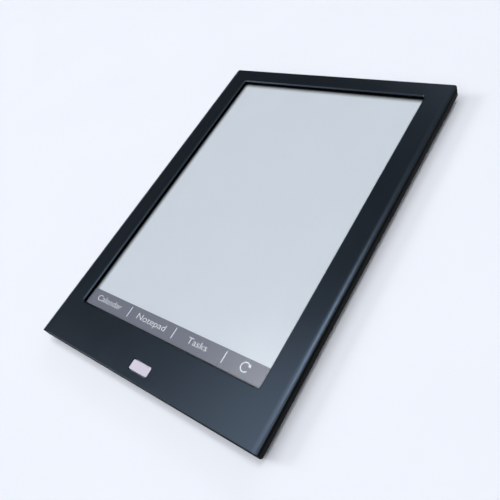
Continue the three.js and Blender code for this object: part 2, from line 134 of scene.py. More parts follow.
@dataclass(frozen=True)
class Ring:
    """One rounded rectangle in a stack of outlines."""

    width: float
    length: float
    radius: float
    height: float
    centre: tuple[float, float] = (0.0, 0.0)

    def draw(self, bm: BMesh, steps: int) -> list[BMEdge]:
        """Draws the outline flat at its height.

        Args:
            bm: the mesh to draw in.
            steps: segments in each rounded corner.

        Returns:
            The outline's edges.
        """
        middle = Vector((*self.centre, self.height))
        spot = Matrix.LocRotScale(middle, None, Vector((self.width, self.length, 1)))
        grid = bmesh.ops.create_grid(bm, x_segments=1, y_segments=1, size=0.5, matrix=spot)
        radius = min(self.radius, FULLEST_CORNER * min(self.width, self.length))
        rounded = bmesh.ops.bevel(
            bm, geom=grid["verts"], offset=radius, offset_type="OFFSET", segments=steps,
            profile=0.5, affect="VERTICES", material=-1, clamp_overlap=False,
        )
        face = max({f for v in rounded["verts"] for f in v.link_faces}, key=lambda f: f.calc_area())
        edges = list(face.edges)
        bmesh.ops.delete(bm, geom=[face], context="FACES_ONLY")
        return edges

    def match(self, point: Vector, other: "Ring") -> Vector:
        """Finds the place on another ring that answers to a point of this one.

        Args:
            point: a point of this ring.
            other: the ring to go to.

        Returns:
            The answering point.
        """
        x, y = point.x - self.centre[0], point.y - self.centre[1]
        side = Vector((math.copysign(1, x), math.copysign(1, y)))
        lean = Vector((x, y)) - self._corner_centre(side)
        spot = other._corner_centre(side) + lean * (other.radius / self.radius)
        return Vector((spot.x + other.centre[0], spot.y + other.centre[1], other.height))

    def _corner_centre(self, side: Vector) -> Vector:
        """Returns the centre of a corner's arc, from the ring's own centre."""
        return Vector((side.x * (self.width / 2 - self.radius), side.y * (self.length / 2 - self.radius)))


def loft(bm: BMesh, rings: Sequence[Ring], steps: int = 6, closed: bool = False) -> list[list[BMVert]]:
    """Draws out one outline through a stack of rings into a shell.

    Args:
        bm: the mesh to build in.
        rings: outlines in order.
        steps: segments in each rounded corner.
        closed: joins the last ring to the first; otherwise both ends are capped.

    Returns:
        The vertices of each ring.
    """
    loop = rings[0].draw(bm, steps)
    verts = [list({v for edge in loop for v in edge.verts})]
    if not closed:
        bmesh.ops.contextual_create(bm, geom=loop)
    for last, ring in zip(rings, [*rings[1:], rings[0]] if closed else rings[1:]):
        drawn = bmesh.ops.extrude_edge_only(bm, edges=loop)["geom"]
        fresh = [v for v in drawn if isinstance(v, BMVert)]
        loop = [e for e in drawn if isinstance(e, BMEdge) and all(v in fresh for v in e.verts)]
        for vert in fresh:
            vert.co = last.match(vert.co, ring)
        verts.append(fresh)
    if closed:
        bmesh.ops.remove_doubles(bm, verts=verts[0] + verts.pop(), dist=MERGE)
    else:
        bmesh.ops.contextual_create(bm, geom=loop)
    return verts


def slab(
    size: Sequence[float], centre: Sequence[float], radius: float, axis: Axis = Axis.UP, steps: int = 5,
) -> BMesh:
    """Makes a plate with rounded corners.

    Args:
        size: its sizes along X, Y and Z.
        centre: its middle.
        radius: corner radius in the outline.
        axis: the direction through the plate's outline.
        steps: segments in each corner.

    Returns:
        A new mesh.
    """
    bm = bmesh.new()
    across, depth = (size[1], size[2]) if axis is Axis.UP else (size[2], size[1])
    loft(bm, [Ring(size[0], across, radius, -depth / 2), Ring(size[0], across, radius, depth / 2)], steps)
    if axis is Axis.BACK:
        bmesh.ops.rotate(bm, verts=bm.verts, matrix=Matrix.Rotation(math.pi / 2, 3, "X"))
    bmesh.ops.translate(bm, verts=bm.verts, vec=Vector(centre))
    bmesh.ops.recalc_face_normals(bm, faces=bm.faces)
    return bm


def peg(diameter: float, low: float, high: float, axis: Sequence[float], steps: int = 32) -> BMesh:
    """Makes an upright round peg.

    Args:
        diameter: its width.
        low: the height of its foot.
        high: the height of its top.
        axis: where it stands, along X and Y.
        steps: segments round it.

    Returns:
        A new mesh.
    """
    bm = bmesh.new()
    middle = Matrix.Translation((axis[0], axis[1], (low + high) / 2))
    bmesh.ops.create_cone(
        bm, cap_ends=True, segments=steps, radius1=diameter / 2, radius2=diameter / 2,
        depth=high - low, matrix=middle,
    )
    return bm


def as_object(name: str, bm: BMesh) -> Object:
    """Turns a mesh in work into an object at the origin, still in millimetres.

    Args:
        name: the object's name.
        bm: the mesh in work, which is used up.

    Returns:
        The new object.
    """
    bmesh.ops.remove_doubles(bm, verts=bm.verts, dist=MERGE)
    bmesh.ops.recalc_face_normals(bm, faces=bm.faces)
    mesh = bpy.data.meshes.new(name)
    bm.to_mesh(mesh)
    bm.free()
    piece = bpy.data.objects.new(name, mesh)
    bpy.context.scene.collection.objects.link(piece)
    return piece


def combine(piece: Object, tools: Iterable[BMesh], tooling: Tooling = Tooling.CUT) -> None:
    """Cuts tools out of a piece, or joins them to it, and keeps the result as its mesh.

    Args:
        piece: the piece in work.
        tools: meshes in work, which are used up.
        tooling: whether they cut or join.
    """
    for index, tool in enumerate(tools):
        cutter = as_object(f"{piece.name}_tool_{index}", tool)
        step = piece.modifiers.new("cut", "BOOLEAN")
        step.operation = tooling.value
        step.solver = "EXACT"
        step.object = cutter
        settled = piece.evaluated_get(bpy.context.evaluated_depsgraph_get())
        mesh = bpy.data.meshes.new_from_object(settled)
        piece.modifiers.clear()
        old, piece.data = piece.data, mesh
        bpy.data.meshes.remove(old)
        bpy.data.meshes.remove(cutter.data)


@dataclass(frozen=True)
class Softening:
    """How sharp edges are rounded.

    Width and segments are the fillet's, and angle is the least crease that gets one. Faces that meet
    at less than the level angle are joined first. Both angles are in degrees.
    """

    width: float
    segments: int
    angle: float
    level: float = 0.4

    def apply(self, piece: Object) -> None:
        """Rounds the piece's creases and marks the fillets for edge wear.

        Args:
            piece: the piece in work, still in millimetres.
        """
        bm = bmesh.new()
        bm.from_mesh(piece.data)
        bmesh.ops.remove_doubles(bm, verts=bm.verts, dist=MERGE)
        bmesh.ops.dissolve_limit(bm, angle_limit=math.radians(self.level), verts=bm.verts, edges=bm.edges)
        least = math.radians(self.angle)
        sharp = [e for e in bm.edges if len(e.link_faces) == 2 and e.calc_face_angle(0.0) > least]
        layer = bm.verts.layers.float.new(WEAR)
        made = bmesh.ops.bevel(
            bm, geom=sharp, offset=self.width, offset_type="OFFSET", segments=self.segments,
            profile=0.5, affect="EDGES", material=-1, clamp_overlap=True,
        )
        fillets = set(made["faces"])
        for vert in {v for face in fillets for v in face.verts}:
            vert[layer] = float(fillets.issuperset(vert.link_faces))
        bmesh.ops.triangulate(bm, faces=[f for f in bm.faces if len(f.verts) > 4])
        bm.to_mesh(piece.data)
        bm.free()


def settle(piece: Object, smooth_angle: float = 32.0) -> Object:
    """Scales a finished piece to metres and gives it smooth, face-weighted shading.

    Args:
        piece: the piece, in millimetres.
        smooth_angle: creases sharper than this, in degrees, stay sharp.

    Returns:
        The same piece.
    """
    mesh = piece.data
    mesh.transform(Matrix.Scale(MM, 4))
    mesh.shade_smooth()
    mesh.set_sharp_from_angle(angle=math.radians(smooth_angle))
    weighted = piece.modifiers.new("even_shading", "WEIGHTED_NORMAL")
    weighted.keep_sharp = True
    return piece


def place(piece: Object, body: Body, stands_for: Sequence[str] = ()) -> None:
    """Rides a piece on its body and hides the nodes it stands for.

    Args:
        piece: the finished piece.
        body: the CAD body that it moves with.
        stands_for: the CAD nodes that it replaces.
    """
    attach(piece, body.value)
    if stands_for:
        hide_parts(*stands_for)
    LOG.info("%s rides on %s, %d faces", piece.name, body.value, len(piece.data.polygons))


# ---------------------------------------------------------------- finishes


class NodeBench:
    """A material's node tree, with short calls for the nodes that the finishes share."""

    def __init__(self, name: str) -> None:
        """Starts an empty node tree.

        Args:
            name: the material's name.
        """
        self.material = bpy.data.materials.new(name)
        self.material.use_nodes = True
        self.tree = self.material.node_tree
        self.tree.nodes.clear()
        self.places = self.add("ShaderNodeTexCoord").outputs["Object"]

    def add(self, kind: str, **settings: object) -> Node:
        """Adds a node and sets its own properties.

        Args:
            kind: the node's type.
            settings: its properties by name.

        Returns:
            The new node.
        """
        node = self.tree.nodes.new(kind)
        for key, value in settings.items():
            setattr(node, key, value)
        return node

    def link(self, source: NodeSocket, target: NodeSocket) -> None:
        """Joins two sockets."""
        self.tree.links.new(source, target)

    def stretched(self, scale: Point) -> NodeSocket:
        """Stretches the object coordinates.

        Args:
            scale: the factors along each axis.

        Returns:
            The new coordinates.
        """
        mapping = self.add("ShaderNodeMapping")
        mapping.inputs["Scale"].default_value = scale
        self.link(self.places, mapping.inputs["Vector"])
        return mapping.outputs["Vector"]

    def noise(self, size: float, detail: float, vector: NodeSocket | None = None) -> NodeSocket:
        """Adds a noise.

        Args:
            size: how wide its blobs are, in millimetres.
            detail: how many finer layers it has.
            vector: its coordinates, if not the object's own.

        Returns:
            Its value.
        """
        node = self.add("ShaderNodeTexNoise")
        node.inputs["Scale"].default_value = 1 / (size * MM)
        node.inputs["Detail"].default_value = detail
        self.link(vector or self.places, node.inputs["Vector"])
        return node.outputs["Fac"]

    def ranged(
        self, value: NodeSocket, low: float, high: float, start: float = 0.3, end: float = 0.7,
        ramp: Ramp = Ramp.EVEN,
    ) -> NodeSocket:
        """Spreads a value from one range over another.

        Args:
            value: the value.
            low: the result at the start of its range.
            high: the result at the end of its range.
            start: where its range starts.
            end: where its range ends.
            ramp: how it is spread.

        Returns:
            The new value.
        """
        node = self.add("ShaderNodeMapRange", interpolation_type=ramp.value)
        for key, number in (("From Min", start), ("From Max", end), ("To Min", low), ("To Max", high)):
            node.inputs[key].default_value = number
        self.link(value, node.inputs["Value"])
        return node.outputs["Result"]

    def mixed(self, share: NodeSocket, first: object, second: object) -> NodeSocket:
        """Mixes two colours.

        Args:
            share: how much of the second shows.
            first: a colour or a colour's socket.
            second: a colour or a colour's socket.

        Returns:
            The mixed colour.
        """
        node = self.add("ShaderNodeMix", data_type="RGBA")
        self.link(share, node.inputs["Factor"])
        for key, colour in (("A", first), ("B", second)):
            target = next(s for s in node.inputs if s.name == key and s.type == "RGBA")
            if isinstance(colour, NodeSocket):
                self.link(colour, target)
            else:
                target.default_value = (*colour, 1.0)
        return next(s for s in node.outputs if s.type == "RGBA")

    def product(self, first: NodeSocket, second: NodeSocket | float) -> NodeSocket:
        """Multiplies a value.

        Args:
            first: the value.
            second: another value, or a number.

        Returns:
            The product.
        """
        node = self.add("ShaderNodeMath", operation="MULTIPLY")
        self.link(first, node.inputs[0])
        if isinstance(second, NodeSocket):
            self.link(second, node.inputs[1])
        else:
            node.inputs[1].default_value = second
        return node.outputs["Value"]

    def wear(self) -> NodeSocket:
        """Returns how far each point belongs to a rounded edge."""
        return self.add("ShaderNodeAttribute", attribute_name=WEAR).outputs["Fac"]

    def bump(self, height: NodeSocket, depth: float, strength: float) -> NodeSocket:
        """Raises a surface by a height pattern.

        Args:
            height: the pattern.
            depth: its depth in millimetres.
            strength: how strongly it shows.

        Returns:
            The new normal.
        """
        node = self.add("ShaderNodeBump")
        node.inputs["Strength"].default_value = strength
        node.inputs["Distance"].default_value = depth * MM
        self.link(height, node.inputs["Height"])
        return node.outputs["Normal"]

    def blended(self, share: NodeSocket, first: NodeSocket, second: NodeSocket) -> NodeSocket:
        """Mixes two shaders.

        Args:
            share: how much of the second shows.
            first: a shader.
            second: a shader.

        Returns:
            The mixed shader.
        """
        both = self.add("ShaderNodeMixShader")
        self.link(share, both.inputs["Fac"])
        self.link(first, both.inputs[1])
        self.link(second, both.inputs[2])
        return both.outputs["Shader"]

    def finish_with(self, shader: NodeSocket) -> Material:
        """Sends a shader to the output.

        Args:
            shader: the finished shader.

        Returns:
            The material.
        """
        output = self.add("ShaderNodeOutputMaterial")
        self.link(shader, output.inputs["Surface"])
        return self.material


@dataclass(frozen=True)
class Finish:
    """A plain solid surface: two close colours, mottling, a fine grain and worn edges.

    Sizes of patterns and the grain's depth are in millimetres. Scuff range is the part of the scuff
    noise over which the worn colour comes in.
    """

    name: str
    colour: Colour
    second: Colour
    roughness: tuple[float, float] = (0.4, 0.5)
    metallic: float = 0.0
    specular: float = 0.5
    tint: Colour = (1.0, 1.0, 1.0)
    mottle: float = 9.0
    mottle_detail: float = 4.0
    grain: float = 0.22
    grain_detail: float = 2.0
    grain_depth: float = 0.006
    grain_strength: float = 0.35
    worn: Colour | None = None
    wear_share: float = 0.5
    stretch: Point = (1.0, 1.0, 1.0)
    coat: float = 0.0
    scuff: float = 1.6
    scuff_detail: float = 5.0
    scuff_range: tuple[float, float] = (0.42, 0.68)

    def material(self) -> Material:
        """Builds the node material.

        Returns:
            The material.
        """
        bench = NodeBench(self.name)
        where = bench.stretched(self.stretch)
        mottle = bench.noise(self.mottle, self.mottle_detail)
        grain = bench.noise(self.grain, self.grain_detail, where)
        colour = bench.mixed(bench.ranged(mottle, 0.0, 1.0), self.colour, self.second)
        if self.worn:
            scuffs = bench.ranged(bench.noise(self.scuff, self.scuff_detail), 0.0, 1.0, *self.scuff_range)
            share = bench.product(bench.product(bench.wear(), scuffs), self.wear_share)
            colour = bench.mixed(share, colour, self.worn)
        colour = self.shading(bench, colour)
        shader = bench.add("ShaderNodeBsdfPrincipled")
        shader.inputs["Metallic"].default_value = self.metallic
        shader.inputs["Specular IOR Level"].default_value = self.specular
        shader.inputs["Specular Tint"].default_value = (*self.tint, 1.0)
        shader.inputs["Coat Weight"].default_value = self.coat
        bench.link(colour, shader.inputs["Base Color"])
        bench.link(bench.ranged(mottle, *self.roughness), shader.inputs["Roughness"])
        bench.link(bench.bump(grain, self.grain_depth, self.grain_strength), shader.inputs["Normal"])
        return bench.finish_with(shader.outputs["BSDF"])

    def shading(self, bench: NodeBench, colour: NodeSocket) -> NodeSocket:
        """Returns the colour as it is: a plain finish has no shading of its own."""
        return colour


@dataclass(frozen=True)
class WallShadedFilm(Finish):
    """The e-paper film, with painted shade: the window wall's shade on its left and top borders.

    The shade is black at its start and gone at its end, in millimetres in from the border.
    """

    shade: Colour = (0.0, 0.0, 0.0)
    shade_start: float = -0.5
    shade_end: float = 2.5

    def shading(self, bench: NodeBench, colour: NodeSocket) -> NodeSocket:
        """Paints the window wall's shade on the colour, darker towards the film's left and top borders.

        Args:
            bench: the material's node bench.
            colour: the colour so far.

        Returns:
            The shaded colour.
        """
        film = Span.of("epaper_film")
        axes = bench.add("ShaderNodeSeparateXYZ")
        bench.link(bench.places, axes.inputs["Vector"])
        for side, border, inward in (("X", film.low.x, 1), ("Y", film.high.y, -1)):
            start = (border + inward * self.shade_start) * MM
            end = (border + inward * self.shade_end) * MM
            share = bench.ranged(axes.outputs[side], 0.0, 1.0, start, end, Ramp.SOFT)
            colour = bench.mixed(share, self.shade, colour)
        return colour


@dataclass(frozen=True)
class ClearSheet:
    """A clear anti-glare sheet: light passes straight on, and a soft sheen grows at a flat angle.

    Ripple is the width, in millimetres, of the fine texture that varies the roughness by its spread.
    """

    name: str
    facing_share: float = 0.06
    grazing_share: float = 0.5
    steepness: float = 4.0
    roughness: float = 0.22
    roughness_spread: float = 0.03
    ripple: float = 0.09
    ripple_detail: float = 1.0
    tint: Colour = (0.98, 0.99, 0.99)

    def material(self) -> Material:
        """Builds the node material.

        Returns:
            The material.
        """
        bench = NodeBench(self.name)
        through = bench.add("ShaderNodeBsdfTransparent")
        through.inputs["Color"].default_value = (*self.tint, 1.0)
        sheen = bench.add("ShaderNodeBsdfGlossy")
        rough = (self.roughness - self.roughness_spread, self.roughness + self.roughness_spread)
        ripples = bench.noise(self.ripple, self.ripple_detail)
        bench.link(bench.ranged(ripples, *rough), sheen.inputs["Roughness"])
        facing = bench.add("ShaderNodeLayerWeight")
        facing.inputs["Blend"].default_value = 0.5
        steep = bench.add("ShaderNodeMath", operation="POWER")
        bench.link(facing.outputs["Facing"], steep.inputs[0])
        steep.inputs[1].default_value = self.steepness
        share = bench.ranged(steep.outputs["Value"], self.facing_share, self.grazing_share, 0.0, 1.0)
        return bench.finish_with(bench.blended(share, through.outputs["BSDF"], sheen.outputs["BSDF"]))


@dataclass(frozen=True)
class FadingFloor:
    """A matt pale floor that fades into the backdrop at a distance from the object, in millimetres."""

    name: str
    colour: Colour = (0.862, 0.882, 0.935)
    second: Colour = (0.877, 0.897, 0.950)
    patch: float = 60.0
    patch_detail: float = 4.0
    grain: float = 1.5
    grain_detail: float = 2.0
    grain_depth: float = 0.03
    grain_strength: float = 0.1
    fade: tuple[float, float] = (700.0, 2400.0)

    def material(self) -> Material:
        """Builds the node material.

        Returns:
            The material.
        """
        bench = NodeBench(self.name)
        matt = bench.add("ShaderNodeBsdfDiffuse")
        patches = bench.ranged(bench.noise(self.patch, self.patch_detail), 0.0, 1.0)
        bench.link(bench.mixed(patches, self.colour, self.second), matt.inputs["Color"])
        grain = bench.noise(self.grain, self.grain_detail)
        bench.link(bench.bump(grain, self.grain_depth, self.grain_strength), matt.inputs["Normal"])
        distance = bench.add("ShaderNodeVectorMath", operation="LENGTH")
        bench.link(bench.places, distance.inputs[0])
        start, end = (reach * MM for reach in self.fade)
        share = bench.ranged(distance.outputs["Value"], 0.0, 1.0, start, end, Ramp.SOFT)
        gone = bench.add("ShaderNodeBsdfTransparent")
        return bench.finish_with(bench.blended(share, matt.outputs["BSDF"], gone.outputs["BSDF"]))


AnyFinish = Finish | ClearSheet | FadingFloor


class Paint:
    """The finishes of the notebook, each made once."""

    BEZEL = Finish(
        "bezel_paint", (0.0022, 0.0036, 0.0046), (0.0028, 0.0044, 0.0056), (0.295, 0.31), specular=0.9,
        tint=(0.55, 0.73, 1.0), mottle=14.0, mottle_detail=1.0, grain=0.24, grain_depth=0.014,
        grain_strength=0.4, worn=(0.05, 0.06, 0.07), wear_share=0.3,
    )
    BARE = Finish(
        "bare_plastic", (0.0025, 0.0026, 0.0030), (0.0040, 0.0042, 0.0048), (0.55, 0.65), specular=0.02,
        grain=0.4, grain_depth=0.01, grain_strength=0.2, worn=(0.012, 0.012, 0.013), wear_share=0.3,
    )
    COVER = Finish(
        "cover_plastic", (0.0042, 0.0043, 0.0048), (0.0056, 0.0058, 0.0064), (0.50, 0.58), specular=0.04,
        grain=0.34, grain_depth=0.04, grain_strength=0.5, worn=(0.018, 0.018, 0.020),
    )
    SILVER = Finish(
        "key_silver", (0.695, 0.655, 0.765), (0.74, 0.70, 0.81), (0.30, 0.38), metallic=0.35,
        grain=0.1, grain_depth=0.002, grain_strength=0.2, worn=(0.85, 0.85, 0.88), wear_share=0.3,
    )
    # the e-paper film, with the window wall's shade painted along its left and top borders
    EPAPER = WallShadedFilm(
        "screen_film", (0.750, 0.780, 0.838), (0.765, 0.796, 0.854), (0.75, 0.85), specular=0.2,
        mottle=26.0, grain=0.5, grain_depth=0.002, grain_strength=0.1,
    )
    PRINT = Finish(
        "key_strip_print", (0.190, 0.195, 0.248), (0.199, 0.205, 0.258), (0.55, 0.6), specular=0.3,
        mottle=12.0, grain=0.5, grain_depth=0.002, grain_strength=0.1,
    )
    MARK = Finish(
        "key_marks", (0.86, 0.87, 0.90), (0.92, 0.93, 0.95), (0.5, 0.6), specular=0.3, mottle=3.0,
        grain=0.1, grain_depth=0.001, grain_strength=0.2,
    )
    FOAM = Finish(
        "gasket_foam", (0.004, 0.004, 0.0045), (0.007, 0.007, 0.008), (0.85, 0.95), specular=0.1,
        grain=0.2, grain_depth=0.05, grain_strength=0.8,
    )
    PANEL = Finish(
        "panel_glass", (0.006, 0.007, 0.008), (0.009, 0.010, 0.012), (0.12, 0.2), grain=0.5,
        grain_depth=0.001, grain_strength=0.1,
    )
    ALLOY = Finish(
        "frame_alloy", (0.52, 0.53, 0.55), (0.60, 0.61, 0.63), (0.34, 0.46), metallic=1.0, grain=0.5,
        grain_depth=0.01, grain_strength=0.3, stretch=(1.0, 0.12, 1.0), worn=(0.8, 0.8, 0.82),
    )
    STEEL = Finish(
        "fine_steel", (0.48, 0.48, 0.49), (0.58, 0.58, 0.60), (0.24, 0.34), metallic=1.0, mottle=2.0,
        grain=0.08, grain_depth=0.002, grain_strength=0.2, stretch=(1.0, 0.1, 1.0), worn=(0.8, 0.8, 0.8),
    )
    GOLD = Finish(
        "contact_gold", (0.78, 0.52, 0.20), (0.84, 0.58, 0.25), (0.2, 0.28), metallic=1.0, mottle=1.0,
        grain=0.05, grain_depth=0.001, grain_strength=0.15,
    )
    RESIN = Finish(
        "chip_resin", (0.018, 0.018, 0.019), (0.025, 0.025, 0.026), (0.5, 0.62), mottle=2.0, grain=0.1,
        grain_depth=0.004, grain_strength=0.4,
    )
    SOCKET = Finish(
        "socket_plastic", (0.72, 0.68, 0.58), (0.76, 0.73, 0.64), (0.42, 0.5), mottle=3.0, grain=0.15,
        grain_depth=0.003, grain_strength=0.3,
    )
    BOARD = Finish(
        "board_laminate", (0.018, 0.105, 0.045), (0.028, 0.14, 0.06), (0.28, 0.4), mottle=1.4, grain=0.3,
        grain_depth=0.01, grain_strength=0.3, coat=0.3,
    )
    FLEX = Finish(
        "flex_film", (0.42, 0.17, 0.035), (0.50, 0.22, 0.05), (0.25, 0.35), mottle=1.2, grain=0.4,
        grain_depth=0.006, grain_strength=0.3, stretch=(1.0, 0.05, 1.0), coat=0.3,
    )
    POUCH = Finish(
        "pouch_foil", (0.55, 0.56, 0.57), (0.64, 0.65, 0.66), (0.28, 0.42), metallic=0.85, mottle=8.0,
        grain=1.2, grain_depth=0.04, grain_strength=0.3,
    )
    TAPE = Finish("tape_film", (0.80, 0.74, 0.58), (0.84, 0.79, 0.64), (0.5, 0.6), mottle=6.0, grain=0.6)
    RED = Finish("lead_red", (0.45, 0.02, 0.016), (0.52, 0.03, 0.02), (0.35, 0.45), mottle=1.5, grain=0.2)
    BLACK = Finish(
        "lead_black", (0.014, 0.014, 0.015), (0.02, 0.02, 0.021), (0.35, 0.45), mottle=1.5, grain=0.2,
    )
    NYLON = Finish(
        "plunger_plastic", (0.05, 0.05, 0.055), (0.065, 0.065, 0.07), (0.45, 0.55), mottle=1.0, grain=0.15,
    )
    SHEET = ClearSheet("touch_sheet")

    _made: dict[str, Material] = {}

    @classmethod
    def made(cls, finish: AnyFinish) -> Material:
        """Finds a finish's material, or builds it on its first call.

        Args:
            finish: the finish.

        Returns:
            Its material.
        """
        if finish.name not in cls._made:
            cls._made[finish.name] = finish.material()
        return cls._made[finish.name]

    @classmethod
    def on(cls, piece: Object, finish: AnyFinish) -> None:
        """Gives a piece one finish in all its material slots.

        Args:
            piece: the piece or CAD node.
            finish: its finish.
        """
        material = cls.made(finish)
        if not piece.material_slots:
            piece.data.materials.append(material)
        for holder in piece.material_slots:
            holder.material = material


# ---------------------------------------------------------------- casing


@dataclass
class FrontBezel:
    """The bezel: a plate with a skirt, rolled off along its sides and bevelled round its window.

    A roll has a width and a fall. Faces that point less upwards than bare_below have no paint, and
    nor does the outer part of the end roll, from bare_end of its width.
    """

    corner: float = 0.7
    side_roll: tuple[float, float] = (2.3, 0.6)
    end_roll: tuple[float, float] = (0.4, 0.4)
    roll_steps: int = 10
    window: tuple[float, float] = (92.2, 131.7)
    window_centre: tuple[float, float] = (-0.3, 5.17)
    window_corner: float = 1.0
    window_bevel: float = 0.45
    skirt: float = 1.25
    underside: float = 6.85
    key_gap: float = 0.32
    key_corner: float = 0.92
    bare_below: float = 0.45
    bare_end: float = 0.7
    hole_depth: float = 4.0
    softening: Softening = Softening(0.11, 3, 18.0)

    def build(self) -> Object:
        """Builds the bezel in place.

        Returns:
            The finished piece.
        """
        whole = Span.of("front_bezel")
        width, length = whole.size.x, whole.size.y
        top, bottom = whole.high.z, whole.low.z
        window_width, window_length = self.window
        grow = 2 * self.window_bevel
        side, end = 2 * self.side_roll[0], 2 * self.end_roll[0]
        inner = (width - 2 * self.skirt, length - 2 * self.skirt, self.corner / 2)
        shares = [step / self.roll_steps for step in range(self.roll_steps + 1)]
        rings = [
            Ring(width, length, self.corner, bottom),
            *(Ring(width - side * share, length - end * share, self.corner, top) for share in shares),
            Ring(
                window_width + grow, window_length + grow, self.window_corner + self.window_bevel, top,
                self.window_centre,
            ),
            Ring(*self.window, self.window_corner, top - self.window_bevel, self.window_centre),
            Ring(*self.window, self.window_corner, self.underside, self.window_centre),
            Ring(*inner, self.underside),
            Ring(*inner, bottom),
        ]
        bm = bmesh.new()
        rolled = loft(bm, rings, closed=True)[1:self.roll_steps + 2]
        for vert in (v for ring in rolled for v in ring):
            vert.co.z = top - max(
                self._drop(width / 2 - abs(vert.co.x), *self.side_roll),
                self._drop(length / 2 - abs(vert.co.y), *self.end_roll),
            )
        piece = as_object("bezel_moulding", bm)
        key = Span.of("home_button")
        gap = 2 * self.key_gap
        size = (HomeKey.cap[0] + gap, HomeKey.cap[1] + gap, self.hole_depth)
        hole = slab(size, (key.centre.x, key.centre.y, top), self.key_corner)
        combine(piece, [hole])
        self.softening.apply(piece)
        return settle(piece)

    @staticmethod
    def _drop(inset: float, reach: float, fall: float) -> float:
        """Returns how far an arc that leaves the face level has fallen, at an inset from the outer side.

        Args:
            inset: distance in from the outer side.
            reach: the arc's width.
            fall: its whole fall.

        Returns:
            The height below the face.
        """
        radius = (reach ** 2 + fall ** 2) / (2 * fall)
        along = min(max(reach - inset, 0.0), reach)
        return radius - math.sqrt(radius ** 2 - along ** 2)

    def dress(self, piece: Object) -> None:
        """Paints the bezel's face, leaves its sides and underside bare, and puts it in the frame.

        Args:
            piece: the finished bezel.
        """
        Paint.on(piece, Paint.BEZEL)
        piece.data.materials.append(Paint.made(Paint.BARE))
        painted_end = (Span.of("front_bezel").high.y - self.end_roll[0] * self.bare_end) * MM
        for face in piece.data.polygons:
            at_end = abs(face.center.y) > painted_end
            face.material_index = int(at_end or face.normal.z < self.bare_below)
        place(piece, Body.CASE, ["front_bezel"])


@dataclass(frozen=True)
class Opening:
    """A hole in the top wall, with a gap round the node in it, or round that node's cap."""

    node: str
    gap: float
    corner: float
    cap: tuple[float, float] | None = None

    def tool(self, middle: float, depth: float) -> BMesh:
        """Makes the tool that cuts the hole.

        Args:
            middle: its place along Y.
            depth: its size along Y.

        Returns:
            A new mesh.
        """
        box = Span.of(self.node)
        across, tall = self.cap or (box.size.x, box.size.z)
        size = (across + 2 * self.gap, depth, tall + 2 * self.gap)
        return slab(size, (box.centre.x, middle, box.centre.z), self.corner, Axis.BACK)


@dataclass
class RearCover:
    """The rear cover: a tub with rolled lower edges, a rim, a lip and the openings in its walls.

    The roll has an inset and a rise, and the well an inset and the height of its step. The foot's
    corner is a share of the corner radius. A boss, a screw hole and the pinhole each have a diameter
    and the height of their top.
    """

    corner: float = 0.7
    foot_corner: float = 0.35
    roll: tuple[float, float] = (4.2, 3.6)
    roll_steps: int = 12
    well: tuple[float, float] = (3.1, 2.2)
    rim: float = 5.48
    lip: float = 1.35
    wall: float = 1.9
    floor: float = 1.0
    seat: float = 0.9
    seat_width: float = 3.0
    boss: tuple[float, float] = (5.2, 1.6)
    screw_hole: tuple[float, float] = (1.8, 2.5)
    pinhole: tuple[float, float] = (1.5, 2.0)
    hole_start: float = -1.0
    hole_steps: int = 24
    wall_tool_inset: float = 1.0
    wall_tool_depth: float = 4.0
    softening: Softening = Softening(0.09, 2, 24.0)
    screws: list[Span] = field(
        default_factory=lambda: [Span.of(f"case_screw_{number}") for number in SCREW_NUMBERS],
    )
    openings: tuple[Opening, ...] = field(
        default_factory=lambda: (
            Opening("usb_shell", 0.3, 0.83),
            Opening("power_button", 0.25, 0.7, PowerKey.cap),
        ),
    )

    def build(self) -> Object:
        """Builds the cover in place.

        Returns:
            The finished piece.
        """
        whole = Span.of("rear_cover")
        width, length = whole.size.x, whole.size.y
        inset, rise = self.roll
        rings = []
        for step in range(self.roll_steps + 1):
            angle = math.pi / 2 * step / self.roll_steps
            back = 2 * inset * (1 - math.sin(angle))
            growth = self.foot_corner + (1 - self.foot_corner) * math.sin(angle)
            height = rise * (1 - math.cos(angle))
            rings.append(Ring(width - back, length - back, self.corner * growth, height))
        well, step_height = 2 * self.well[0], self.well[1]
        rings += [
            Ring(width, length, self.corner, self.rim),
            Ring(width - 2 * self.lip, length - 2 * self.lip, self.corner / 2, self.rim),
            Ring(width - 2 * self.lip, length - 2 * self.lip, self.corner / 2, whole.high.z),
            Ring(width - 2 * self.wall, length - 2 * self.wall, self.corner / 2, whole.high.z),
            Ring(width - 2 * self.wall, length - 2 * self.wall, self.corner / 2, step_height),
            Ring(width - well, length - well, self.corner / 2, step_height),
            Ring(width - well, length - well, self.corner / 2, self.floor),
        ]
        bm = bmesh.new()
        loft(bm, rings)
        piece = as_object("cover_moulding", bm)
        spots = [(s.centre.x, s.centre.y) for s in self.screws]
        boss, boss_top = self.boss
        combine(piece, [peg(boss, self.floor / 2, boss_top, spot) for spot in spots], Tooling.JOIN)
        combine(piece, self._openings(length, spots))
        self.softening.apply(piece)
        return settle(piece)

    def _openings(self, length: float, spots: Sequence[tuple[float, float]]) -> list[BMesh]:
        """Makes the tools for the screw seats, the pinhole, the socket's mouth and the key's slot.

        Args:
            length: the cover's length.
            spots: the screws' axes, along X and Y.

        Returns:
            A new mesh for each hole.
        """
        hole, hole_top = self.screw_hole
        pin, pin_top = self.pinhole
        switch = Span.of("reset_switch_plunger").centre
        wall = length / 2 - self.wall_tool_inset
        return [
            *(peg(self.seat_width, self.hole_start, self.seat, spot) for spot in spots),
            *(peg(hole, self.hole_start, hole_top, spot, self.hole_steps) for spot in spots),
            peg(pin, self.hole_start, pin_top, (switch.x, switch.y), self.hole_steps),
            *(opening.tool(wall, self.wall_tool_depth) for opening in self.openings),
        ]

    def dress(self, piece: Object) -> None:
        """Gives the cover its textured plastic and puts it in the frame."""
        Paint.on(piece, Paint.COVER)
        place(piece, Body.CASE, ["rear_cover"])


